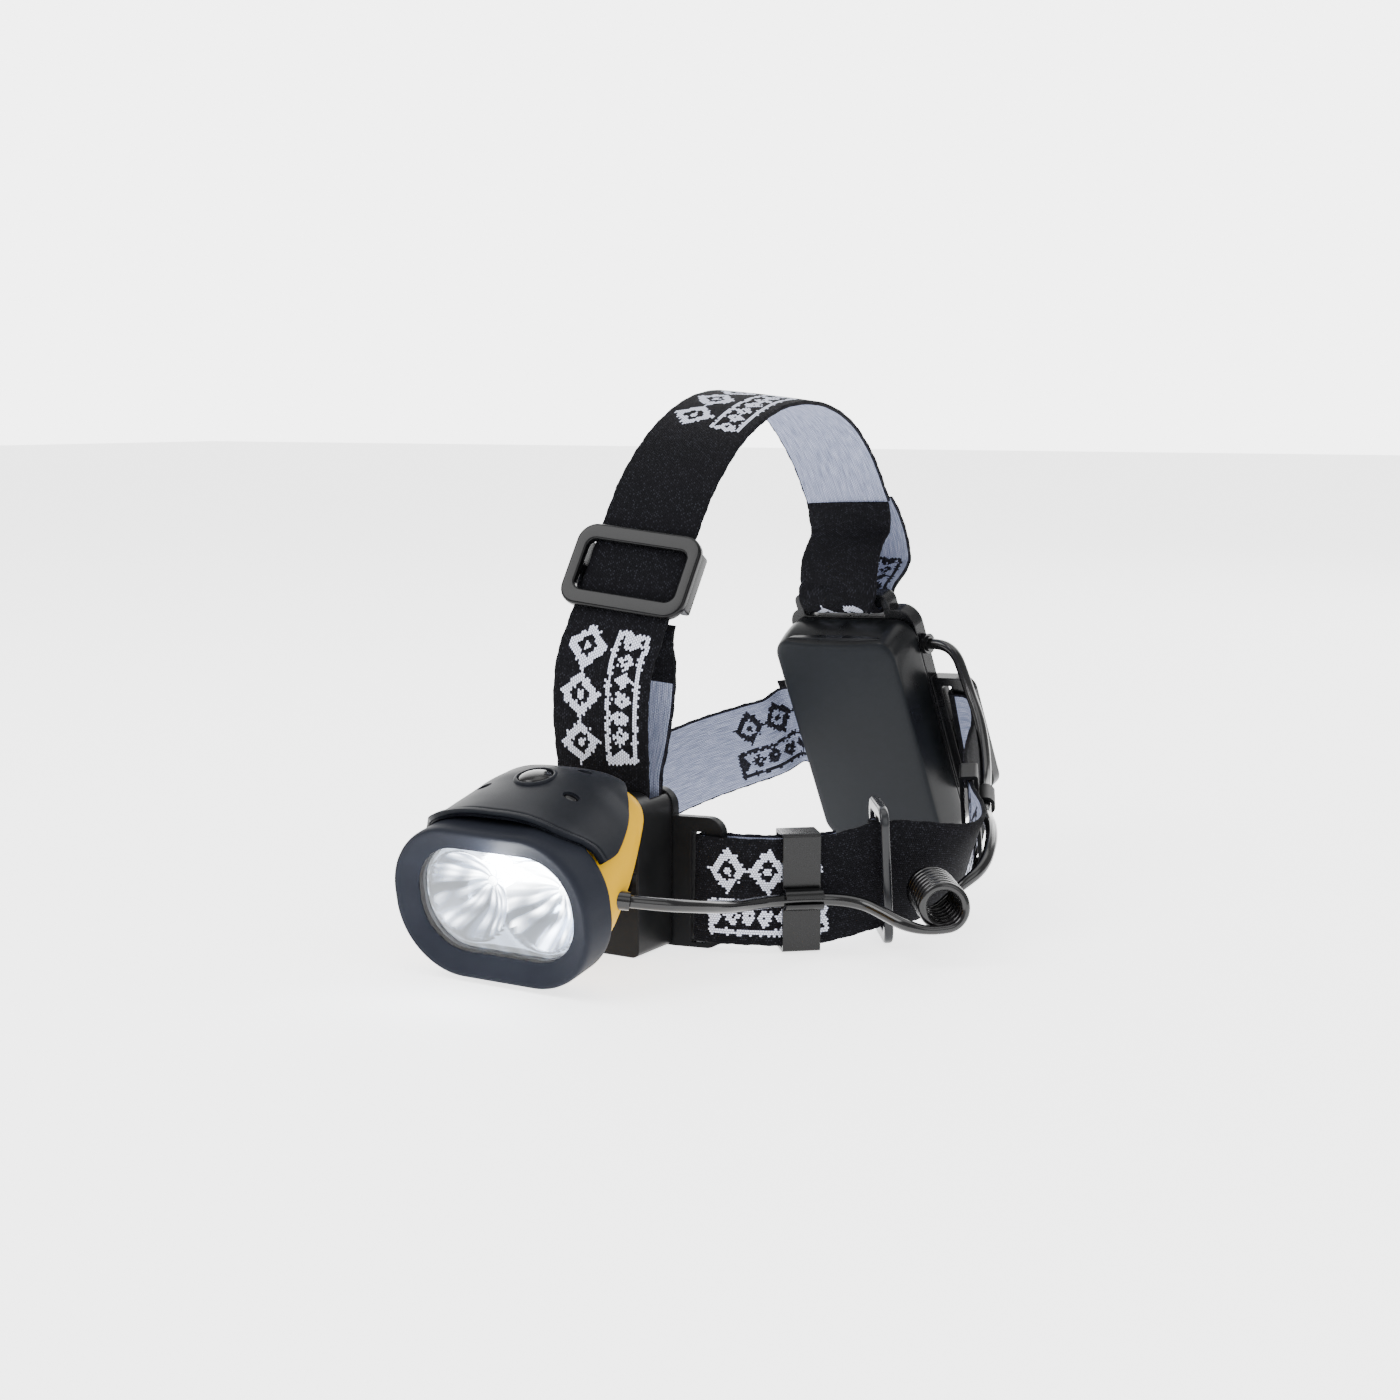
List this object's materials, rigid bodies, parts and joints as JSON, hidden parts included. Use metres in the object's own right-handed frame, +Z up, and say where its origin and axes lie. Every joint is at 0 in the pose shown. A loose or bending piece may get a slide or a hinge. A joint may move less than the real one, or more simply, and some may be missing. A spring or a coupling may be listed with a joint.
{
  "type": "head lamp",
  "caption": "Head lamp on elastic webbing straps: tilting lamp head on a forehead bracket, rear battery pack and a clipped cord with a curly section.",
  "frame": {"origin": "centre of the footprint box, without the cord, on the surface that the lamp stands on", "axes": "+Z up as it stands on a table, -Y the way the lamp shines, +X the wearer's left"},
  "size_m": [0.1547, 0.2294, 0.1546],
  "materials": {
    "bezel_rubber": "matte, soft-touch",
    "lens_clear": "clear polycarbonate",
    "seal_rubber": "matte",
    "reflector_chrome": "vacuum-metallised",
    "led_board": "white solder mask",
    "led_white": "emitting white",
    "screw_steel": "zinc plated",
    "lamp_yellow": "satin moulded",
    "cover_black": "fine satin",
    "button_black": "semi-gloss",
    "switch_body": "matte",
    "bracket_black": "satin",
    "pin_steel": "polished",
    "washer_nylon": "matte",
    "plate_black": "satin",
    "pad_foam": "closed-cell foam",
    "webbing_black": "woven elastic with a white woven motif",
    "slider_black": "satin",
    "clip_black": "satin",
    "cover_slate": "fine texture",
    "frame_slate": "fine texture",
    "cell_jacket": "printed film",
    "contact_brass": "nickel plated",
    "contact_steel": "nickel plated wire",
    "cord_black": "satin sheath"
  },
  "bodies": {
    "headband": {"tilt_bracket": "bracket_black", "hinge_pin": "pin_steel", "hinge_washers": "washer_nylon", "base_plate": "plate_black", "bracket_screws": "screw_steel", "forehead_pad": "pad_foam", "cable_clip_front": "clip_black", "cable_clip_rear": "clip_black", "pack_frame": "frame_slate", "cover_hinge_pins": "pin_steel", "battery_cells": "cell_jacket", "contact_plates": "contact_brass", "contact_springs": "contact_steel", "pack_gland": "button_black", "cord_front": "cord_black", "cord_rear": "cord_black", "cord_coil": "cord_black", "top_strap_front": "webbing_black", "top_strap_slide": "webbing_black", "top_strap_crown_front": "webbing_black", "top_strap_crown": "webbing_black", "top_strap_crown_rear": "webbing_black", "top_strap_tail": "webbing_black", "top_strap_loop_front": "webbing_black", "top_strap_loop_rear": "webbing_black", "left_strap_front": "webbing_black", "left_strap_slide": "webbing_black", "left_strap_side": "webbing_black", "left_strap_rear": "webbing_black", "left_strap_wrap": "webbing_black", "left_strap_tail": "webbing_black", "right_strap_front": "webbing_black", "right_strap_side": "webbing_black", "right_strap_rear": "webbing_black", "right_strap_wrap": "webbing_black", "right_strap_tail": "webbing_black"},
    "lamp_head": {"bezel": "bezel_rubber", "lens": "lens_clear", "lens_seal": "seal_rubber", "reflector": "reflector_chrome", "led_board": "led_board", "led_emitters": "led_white", "board_screws": "screw_steel", "lamp_body": "lamp_yellow", "top_cover": "cover_black", "tact_switch": "switch_body", "switch_board": "led_board", "lamp_gland": "button_black"},
    "power_button": {"power_button": "button_black"},
    "battery_cover": {"battery_cover": "cover_slate"},
    "top_slider": {"top_slider": "slider_black", "top_slider_strap_end": "webbing_black"},
    "side_slider": {"side_slider": "slider_black", "side_slider_strap_end": "webbing_black"}
  },
  "joints": [
    {"name": "lamp_tilt", "type": "hinge", "parent": "headband", "child": "lamp_head", "pos_m": [-0.0139, -0.067, 0.021], "axis": [1, 0, 0], "range_deg": [-8, 45]},
    {"name": "button_press", "type": "slide", "parent": "lamp_head", "child": "power_button", "axis": [0, 0.1805, -0.9836], "range_m": [0, 0.0009], "stiffness_N_per_m": 900, "springref_m": -0.0004},
    {"name": "cover_hinge", "type": "hinge", "parent": "headband", "child": "battery_cover", "pos_m": [0.00154, 0.1078, 0.01034], "axis": [0.9848, -0.165, 0.0536], "range_deg": [0, 90]},
    {"name": "top_slider_travel", "type": "slide", "parent": "headband", "child": "top_slider", "axis": [0.05, 0.4999, 0.8646], "range_m": [-0.0045, 0.0045]},
    {"name": "side_slider_travel", "type": "slide", "parent": "headband", "child": "side_slider", "axis": [0.5565, 0.8294, 0.0491], "range_m": [-0.0048, 0.001]}
  ]
}
